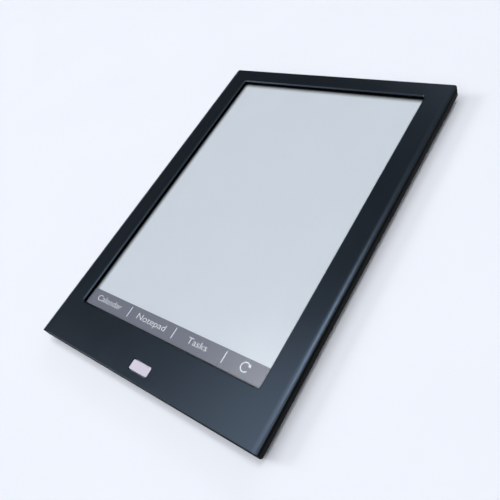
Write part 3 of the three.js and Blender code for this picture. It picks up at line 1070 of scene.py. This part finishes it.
@dataclass
class CaseScrews:
    """The six screws in the back, each with a cross recess.

    The recess has an arm, a width and a depth. The thread starts over the head and ends before the
    tip, which narrows over its length to its radius.
    """

    head: float = 2.6
    head_height: float = 0.75
    head_bevel: float = 0.3
    shank: float = 1.4
    pitch: float = 0.35
    thread_depth: float = 0.09
    thread_start: float = 0.1
    thread_end: float = 0.5
    tip_length: float = 0.4
    tip_radius: float = 0.2
    recess: tuple[float, float, float] = (1.5, 0.34, 0.42)
    recess_corner: float = 0.05
    round_steps: int = 32
    softening: Softening = Softening(0.05, 2, 30.0)

    def build(self) -> list[Object]:
        """Builds the screws in place.

        Returns:
            One piece for each screw.
        """
        return [self._one(f"screw_{number}", Span.of(f"case_screw_{number}")) for number in SCREW_NUMBERS]

    def _outline(self, low: float, tip: float) -> list[tuple[float, float]]:
        """Draws one side of a screw, from the middle of its head to the middle of its tip.

        Args:
            low: the height of the head's outer face.
            tip: the height of the tip.

        Returns:
            The outline's radii and heights.
        """
        seat = low + self.head_height
        rim, crest, root = self.head / 2, self.shank / 2, self.shank / 2 - self.thread_depth
        points = [(0, low), (rim - self.head_bevel, low), (rim, low + self.head_bevel), (rim, seat)]
        points.append((crest, seat))
        for turn in range(int((tip - self.thread_end - seat) / self.pitch)):
            height = seat + self.thread_start + turn * self.pitch
            points += [(root, height), (crest, height + self.pitch / 2)]
        return [*points, (root, tip - self.tip_length), (self.tip_radius, tip), (0, tip)]

    def _one(self, name: str, box: Span) -> Object:
        """Turns one screw about its axis and cuts its recess.

        Args:
            name: the piece's name.
            box: the box of its CAD node.

        Returns:
            The finished piece.
        """
        low, tip = box.low.z, box.high.z
        bm = bmesh.new()
        verts = [bm.verts.new((radius, 0, height)) for radius, height in self._outline(low, tip)]
        edges = [bm.edges.new(pair) for pair in zip(verts, verts[1:])]
        bmesh.ops.spin(
            bm, geom=verts + edges, cent=(0, 0, 0), axis=(0, 0, 1), dvec=(0, 0, 0), angle=2 * math.pi,
            steps=self.round_steps, use_merge=True, use_duplicate=False,
        )
        piece = as_object(name, bm)
        arm, width, depth = self.recess
        bars = ((arm, width), (width, arm))
        combine(piece, [slab((*bar, 2 * depth), (0, 0, low), self.recess_corner, steps=1) for bar in bars])
        self.softening.apply(piece)
        piece.data.transform(Matrix.Translation((box.centre.x, box.centre.y, 0)))
        return settle(piece)

    def dress(self, pieces: Sequence[Object]) -> None:
        """Gives each screw its steel and puts it in the frame.

        Args:
            pieces: the finished screws.
        """
        for number, piece in zip(SCREW_NUMBERS, pieces):
            Paint.on(piece, Paint.STEEL)
            place(piece, Body.CASE, [f"case_screw_{number}"])


# ---------------------------------------------------------------- keys and socket


@dataclass
class HomeKey:
    """The silver home key: a cap with softened edges, the flange that stops it and its stem."""

    cap: tuple[float, float] = (9.2, 3.8)
    corner: float = 0.6
    corner_steps: int = 6
    flange_top: float = 6.75
    flange_bottom: float = 6.2
    stem: tuple[float, float] = (3.2, 2.0)
    stem_corner: float = 0.2
    softening: Softening = Softening(0.16, 4, 30.0)

    def build(self) -> Object:
        """Builds the key in place.

        Returns:
            The finished piece.
        """
        box = Span.of("home_button")
        x, y = box.centre.x, box.centre.y
        flange = (self.flange_top + self.flange_bottom) / 2
        thickness = self.flange_top - self.flange_bottom
        cap = (*self.cap, box.high.z - flange)
        stem = (*self.stem, flange - box.low.z)
        middle = (x, y, (box.high.z + flange) / 2)
        piece = as_object("home_key_cap", slab(cap, middle, self.corner, steps=self.corner_steps))
        others = [
            slab((box.size.x, box.size.y, thickness), (x, y, flange), self.corner),
            slab(stem, (x, y, (flange + box.low.z) / 2), self.stem_corner),
        ]
        combine(piece, others, Tooling.JOIN)
        self.softening.apply(piece)
        return settle(piece)

    def dress(self, piece: Object) -> None:
        """Gives the key its silver paint and puts it in the frame."""
        Paint.on(piece, Paint.SILVER)
        place(piece, Body.HOME, ["home_button"])


@dataclass
class PowerKey:
    """The power key in the top wall: a long rounded cap on a flange.

    The cap's back lies a setback in front of the flange's, and each round end keeps a narrow land.
    """

    cap: tuple[float, float] = (8.0, 1.4)
    setback: float = 0.1
    land: float = 0.05
    corner_steps: int = 6
    flange_depth: float = 0.65
    flange_inset: float = 0.1
    flange_corner: float = 0.1
    softening: Softening = Softening(0.12, 3, 30.0)

    def build(self) -> Object:
        """Builds the key in place.

        Returns:
            The finished piece.
        """
        box = Span.of("power_button")
        x, z = box.centre.x, box.centre.z
        width, height = self.cap
        cap = (width, box.high.y - box.low.y - self.setback, height)
        middle = (box.high.y + box.low.y + self.setback) / 2
        piece = as_object(
            "power_key_cap", slab(cap, (x, middle, z), height / 2 - self.land, Axis.BACK, self.corner_steps),
        )
        inside = box.low.y + self.flange_depth
        flange = (box.size.x, self.flange_depth, height - self.flange_inset)
        spot = (x, (box.low.y + inside) / 2, z)
        combine(piece, [slab(flange, spot, self.flange_corner, Axis.BACK)], Tooling.JOIN)
        self.softening.apply(piece)
        return settle(piece)

    def dress(self, piece: Object) -> None:
        """Gives the key its black plastic and puts it in the frame."""
        Paint.on(piece, Paint.COVER)
        place(piece, Body.POWER, ["power_button"])


@dataclass
class ChargingSocket:
    """The charging socket: a folded steel shell, its tongue and the contacts on it.

    A contact has a width and a thickness, ends short of the tongue and lies just under it.
    """

    wall: float = 0.25
    back_wall: float = 0.6
    corner: float = 0.7
    corner_steps: int = 6
    hollow_corner: float = 0.5
    tongue_corner: float = 0.12
    contacts: int = 5
    pitch: float = 0.65
    contact: tuple[float, float] = (0.3, 0.05)
    contact_short: float = 0.6
    contact_under: float = 0.03
    contact_corner: float = 0.08
    shell_softening: Softening = Softening(0.06, 2, 30.0)
    tongue_softening: Softening = Softening(0.08, 2, 30.0)
    contact_softening: Softening = Softening(0.015, 1, 30.0)

    def build(self) -> tuple[Object, Object, list[Object]]:
        """Builds the socket in place.

        Returns:
            The shell, the tongue and the contacts.
        """
        shell = self._shell(Span.of("usb_shell"))
        tongue_box = Span.of("usb_tongue")
        tongue = as_object(
            "socket_tongue", slab(tongue_box.size, tongue_box.centre, self.tongue_corner, Axis.BACK, 2),
        )
        self.tongue_softening.apply(tongue)
        contacts = [self._contact(index, tongue_box) for index in range(self.contacts)]
        return settle(shell), settle(tongue), contacts

    def _shell(self, box: Span) -> Object:
        """Makes the hollow shell.

        Args:
            box: the box of its CAD node.

        Returns:
            The shell, still in millimetres.
        """
        steps = self.corner_steps
        shell = as_object("socket_shell", slab(box.size, box.centre, self.corner, Axis.BACK, steps))
        hollow = (box.size.x - 2 * self.wall, box.size.y, box.size.z - 2 * self.wall)
        spot = box.centre + Vector((0, self.back_wall, 0))
        combine(shell, [slab(hollow, spot, self.hollow_corner, Axis.BACK, steps)])
        self.shell_softening.apply(shell)
        return shell

    def _contact(self, index: int, tongue: Span) -> Object:
        """Makes one contact under the tongue.

        Args:
            index: its place in the row, from 0.
            tongue: the box of the tongue's CAD node.

        Returns:
            The finished piece.
        """
        width, thickness = self.contact
        x = tongue.centre.x + (index - (self.contacts - 1) / 2) * self.pitch
        size = (width, tongue.size.y - self.contact_short, thickness)
        spot = (x, tongue.centre.y, tongue.low.z - self.contact_under)
        strip = as_object(f"socket_contact_{index + 1}", slab(size, spot, self.contact_corner, steps=2))
        self.contact_softening.apply(strip)
        return settle(strip)

    def dress(self, shell: Object, tongue: Object, contacts: Sequence[Object]) -> None:
        """Gives the socket its metals and puts it in the frame.

        Args:
            shell: the finished shell.
            tongue: the finished tongue.
            contacts: the finished contacts.
        """
        Paint.on(shell, Paint.STEEL)
        Paint.on(tongue, Paint.RESIN)
        place(shell, Body.CASE, ["usb_shell"])
        place(tongue, Body.CASE, ["usb_tongue"])
        for contact in contacts:
            Paint.on(contact, Paint.GOLD)
            place(contact, Body.CASE)


# ---------------------------------------------------------------- key strip


@dataclass
class KeyMarks:
    """The white marks on the strip of touch keys: three words, the bars between them and a refresh arrow.

    A word has its place along X and its width. The arrow has a radius and a stroke, its start and its
    sweep are in degrees, and its head has a half width and a length.
    """

    words: tuple[tuple[str, float, float], ...] = (
        ("Calendar", -34.3, 14.6),
        ("Notepad", -9.4, 15.6),
        ("Tasks", 14.8, 9.4),
    )
    bars: tuple[float, ...] = (-21.9, 2.9, 27.3)
    line: float = -56.2
    cap_height: float = 2.35
    overshoot: float = 1.04
    type_size: float = 3.0
    type_steps: int = 6
    thinning: float = 0.02
    bar: tuple[float, float] = (0.36, 4.5)
    bar_corner: float = 0.1
    arrow_place: float = 36.5
    arrow: tuple[float, float] = (1.7, 0.4)
    arrow_start: float = -38.0
    arrow_sweep: float = 280.0
    arrow_steps: int = 40
    head: tuple[float, float] = (0.72, 1.15)
    head_start: float = 0.02
    thickness: float = 0.012
    clearance: float = 0.001

    def build(self) -> list[Object]:
        """Builds every mark on the strip's upper face.

        Returns:
            The words, the bars and the arrow.
        """
        face = Span.of("touch_key_strip").high.z + self.thickness / 2 + self.clearance
        marks = [self._word(text, x, width, face) for text, x, width in self.words]
        for index, x in enumerate(self.bars, 1):
            bar = slab((*self.bar, self.thickness), (x, self.line, face), self.bar_corner, steps=2)
            marks.append(settle(as_object(f"strip_bar_{index}", bar)))
        marks.append(self._refresh(face))
        return marks

    def _word(self, text: str, x: float, width: float, height: float) -> Object:
        """Writes one word in the built-in face, as a thin mesh.

        Args:
            text: the word.
            x: the place of its middle.
            width: its width.
            height: the height of its mesh's middle.

        Returns:
            The finished piece.
        """
        curve = bpy.data.curves.new(f"word_{text.lower()}", "FONT")
        curve.body = text
        curve.size = self.type_size
        curve.extrude = self.thickness / 2
        curve.offset = -self.thinning
        curve.resolution_u = self.type_steps
        writing = bpy.data.objects.new(curve.name, curve)
        bpy.context.scene.collection.objects.link(writing)
        settled = writing.evaluated_get(bpy.context.evaluated_depsgraph_get())
        mesh = bpy.data.meshes.new_from_object(settled)
        bpy.data.objects.remove(writing)
        low = Vector([min(v.co[i] for v in mesh.vertices) for i in range(3)])
        high = Vector([max(v.co[i] for v in mesh.vertices) for i in range(3)])
        tall = high.y - max(low.y, 0)
        scale = Vector((width / (high.x - low.x), self.cap_height * self.overshoot / tall, 1))
        mesh.transform(Matrix.Translation((-(low.x + high.x) / 2, 0, 0)))
        mesh.transform(Matrix.Diagonal((*scale, 1)))
        mesh.transform(Matrix.Translation((x, self.line - self.cap_height / 2, height)))
        bm = bmesh.new()
        bm.from_mesh(mesh)
        bpy.data.meshes.remove(mesh)
        return settle(as_object(f"strip_word_{text.lower()}", bm))

    def _refresh(self, height: float) -> Object:
        """Draws an open ring that ends in an arrowhead.

        Args:
            height: the height of its mesh's middle.

        Returns:
            The finished piece.
        """
        radius, stroke = self.arrow
        start, sweep = math.radians(self.arrow_start), math.radians(self.arrow_sweep)
        bm = bmesh.new()
        across = [bm.verts.new((radius + side * stroke / 2, 0, 0)) for side in (-1, 1)]
        edge = bm.edges.new(across)
        bmesh.ops.rotate(bm, verts=across, matrix=Matrix.Rotation(start, 3, "Z"))
        ring = bmesh.ops.spin(
            bm, geom=across + [edge], cent=(0, 0, 0), axis=(0, 0, -1), dvec=(0, 0, 0), angle=sweep,
            steps=self.arrow_steps, use_merge=False, use_duplicate=False,
        )
        end = [e for e in ring["geom_last"] if isinstance(e, BMEdge)]
        out = Matrix.Rotation(start - sweep, 3, "Z") @ Vector((1, 0, 0))
        ahead = Vector((out.y, -out.x, 0))
        half_width, reach = self.head
        for half, forward in ((half_width, self.head_start), (0.0, reach)):
            drawn = bmesh.ops.extrude_edge_only(bm, edges=end)["geom"]
            fresh = sorted((v for v in drawn if isinstance(v, BMVert)), key=lambda v: v.co.length)
            end = [e for e in drawn if isinstance(e, BMEdge) and all(v in fresh for v in e.verts)]
            for vert, side in zip(fresh, (-1, 1)):
                vert.co = out * (radius + side * half) + ahead * forward
        bmesh.ops.remove_doubles(bm, verts=bm.verts, dist=MERGE)
        raised = bmesh.ops.extrude_face_region(bm, geom=list(bm.faces))
        lift = [v for v in raised["geom"] if isinstance(v, BMVert)]
        bmesh.ops.translate(bm, verts=lift, vec=Vector((0, 0, self.thickness)))
        spot = Vector((self.arrow_place, self.line, height - self.thickness / 2))
        bmesh.ops.translate(bm, verts=bm.verts, vec=spot)
        return settle(as_object("strip_refresh_arrow", bm))

    def dress(self, marks: Sequence[Object]) -> None:
        """Gives the marks their white ink and puts them in the frame.

        Args:
            marks: the finished marks.
        """
        for mark in marks:
            Paint.on(mark, Paint.MARK)
            place(mark, Body.CASE)


# ---------------------------------------------------------------- what stays from the CAD


@dataclass
class KeptNodes:
    """The CAD nodes whose shape is right: each gets its finish by its material slot."""

    finishes: dict[str, Finish | ClearSheet] = field(default_factory=lambda: {
        "gasket_foam": Paint.FOAM,
        "touch_sheet": Paint.SHEET,
        "key_strip_print": Paint.PRINT,
        "screen_film": Paint.EPAPER,
        "panel_glass": Paint.PANEL,
        "chip_resin": Paint.RESIN,
        "frame_alloy": Paint.ALLOY,
        "board_laminate": Paint.BOARD,
        "fine_steel": Paint.STEEL,
        "socket_plastic": Paint.SOCKET,
        "flex_film": Paint.FLEX,
        "pouch_foil": Paint.POUCH,
        "tape_film": Paint.TAPE,
        "lead_red": Paint.RED,
        "lead_black": Paint.BLACK,
        "plunger_plastic": Paint.NYLON,
    })

    def dress(self) -> None:
        """Paints every CAD node that is still shown."""
        slots = {part["node"]: part["material_slot"] for part in frame["record"]["subparts"]}
        for name, node in frame["nodes"].items():
            if not node.hide_render:
                Paint.on(node, self.finishes[slots[name]])
                LOG.info("%s keeps its CAD shape in %s", name, slots[name])


# ---------------------------------------------------------------- studio


@dataclass(frozen=True)
class Softbox:
    """A soft light panel at the ceiling.

    Its slope and its spread are its place over the object and its sizes, as shares of the ceiling's
    height along X and Y. Radiance is how bright its face is.
    """

    name: str
    slope: tuple[float, float]
    spread: tuple[float, float]
    radiance: float
    tint: Colour = (0.97, 0.98, 1.0)

    def hang(self, ceiling: float) -> None:
        """Hangs the panel, facing straight down.

        Args:
            ceiling: the ceiling's height in metres.
        """
        data = bpy.data.lights.new(self.name, "AREA")
        data.shape = "RECTANGLE"
        data.size, data.size_y = (share * ceiling for share in self.spread)
        data.energy = self.radiance * math.pi * data.size * data.size_y
        data.color = self.tint
        light = bpy.data.objects.new(self.name, data)
        light.location = Vector((*self.slope, 1)) * ceiling
        bpy.context.scene.collection.objects.link(light)


@dataclass
class Studio:
    """The pale floor, the soft light and the camera. Places are in millimetres."""

    eye: Point = (131.33, -85.55, 158.71)
    aim: Point = (12.01, -15.25, 6.2)
    roll: float = -33.95
    lens: float = 38.98
    nearest: float = 5.0
    farthest: float = 50000.0
    floor_size: float = 12000.0
    floor_cells: int = 8
    ceiling: float = 3000.0
    lights: tuple[Softbox, ...] = (
        Softbox("overhead_softbox", (-0.22, -0.16), (0.82, 0.8), 2.4),
        Softbox("left_softbox", (-1.3, -0.55), (0.8, 0.5), 10.0),
        Softbox("side_softbox", (0.17, 0.24), (0.28, 0.28), 10.5),
        Softbox("right_softbox", (0.86, 0.03), (0.6, 0.46), 2.8),
        Softbox("back_softbox", (1.0, 0.85), (0.6, 0.6), 1.0),
        Softbox("rear_softbox", (-0.25, 1.75), (1.1, 0.6), 3.2),
        Softbox("front_softbox", (0.0, -1.2), (0.9, 0.6), 2.6),
    )
    backdrop: Colour = (0.84, 0.86, 0.93)
    room_light: Colour = (0.078, 0.085, 0.094)

    def build(self) -> None:
        """Sets up the whole studio."""
        self._camera()
        self._floor()
        for light in self.lights:
            light.hang(self.ceiling * MM)
        self._surroundings()
        bpy.context.scene.view_settings.view_transform = "Standard"

    def _camera(self) -> None:
        """Stands the camera at its eye point, looking at its aim with a roll."""
        data = bpy.data.cameras.new("camera")
        data.lens = self.lens
        data.clip_start = self.nearest * MM
        data.clip_end = self.farthest * MM
        camera = bpy.data.objects.new("camera", data)
        bpy.context.scene.collection.objects.link(camera)
        eye, aim = Vector(self.eye) * MM, Vector(self.aim) * MM
        upright = (aim - eye).to_track_quat("-Z", "Y").to_matrix()
        turned = upright @ Matrix.Rotation(math.radians(self.roll), 3, "Z")
        camera.matrix_world = Matrix.Translation(eye) @ turned.to_4x4()
        bpy.context.scene.camera = camera

    def _floor(self) -> None:
        """Lays a plain pale floor under the object."""
        bm = bmesh.new()
        cells = self.floor_cells
        bmesh.ops.create_grid(bm, x_segments=cells, y_segments=cells, size=self.floor_size / 2)
        floor = as_object("floor", bm)
        floor.data.transform(Matrix.Scale(MM, 4))
        Paint.on(floor, FadingFloor("pale_floor"))

    def _surroundings(self) -> None:
        """Fills the room with a faint cool light behind a pale backdrop."""
        world = bpy.data.worlds.new("room")
        world.use_nodes = True
        tree = world.node_tree
        tree.nodes.clear()
        seen = tree.nodes.new("ShaderNodeBackground")
        seen.inputs["Color"].default_value = (*self.backdrop, 1)
        felt = tree.nodes.new("ShaderNodeBackground")
        felt.inputs["Color"].default_value = (*self.room_light, 1)
        path = tree.nodes.new("ShaderNodeLightPath")
        both = tree.nodes.new("ShaderNodeMixShader")
        output = tree.nodes.new("ShaderNodeOutputWorld")
        tree.links.new(path.outputs["Is Camera Ray"], both.inputs["Fac"])
        tree.links.new(felt.outputs["Background"], both.inputs[1])
        tree.links.new(seen.outputs["Background"], both.inputs[2])
        tree.links.new(both.outputs["Shader"], output.inputs["Surface"])
        bpy.context.scene.world = world


# ---------------------------------------------------------------- assembly


def main() -> None:
    """Builds and dresses the notebook piece by piece."""
    logging.basicConfig(level=logging.INFO, format="%(message)s")
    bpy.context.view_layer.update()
    Studio().build()
    for part in (FrontBezel(), RearCover(), CaseScrews(), HomeKey(), PowerKey(), KeyMarks()):
        part.dress(part.build())
    socket = ChargingSocket()
    socket.dress(*socket.build())
    KeptNodes().dress()


if __name__ == "__main__":
    main()
